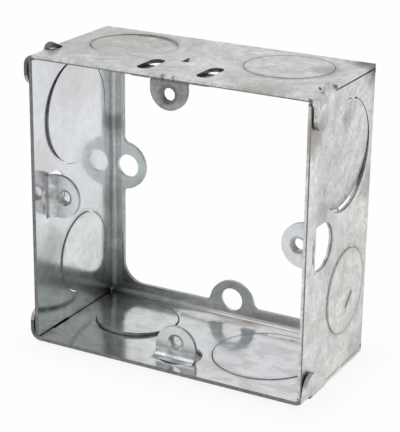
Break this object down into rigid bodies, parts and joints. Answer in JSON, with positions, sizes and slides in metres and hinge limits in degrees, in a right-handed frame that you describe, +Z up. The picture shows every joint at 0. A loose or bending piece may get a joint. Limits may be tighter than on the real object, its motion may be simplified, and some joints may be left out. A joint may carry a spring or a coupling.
{
  "type": "extension back box",
  "caption": "Square galvanised sheet-steel ring box, open front and rear, with folded corners, knockouts, screw lugs and a narrow rear flange with fixing ears.",
  "frame": {"origin": "on the surface under the box, below the middle of its width and depth, level with the underside of the lower corner tabs", "axes": "+Y from the open front to the rear flange, +Z up, X across the box"},
  "size_m": [0.0727, 0.035, 0.0728],
  "materials": {
    "galvanised_shell": "galvanised sheet, lightly scuffed",
    "dark_bracket": "darker zinc-plated sheet"
  },
  "bodies": {
    "root": {"box_shell": "galvanised_shell", "lug_bracket": "dark_bracket"}
  },
  "joints": []
}
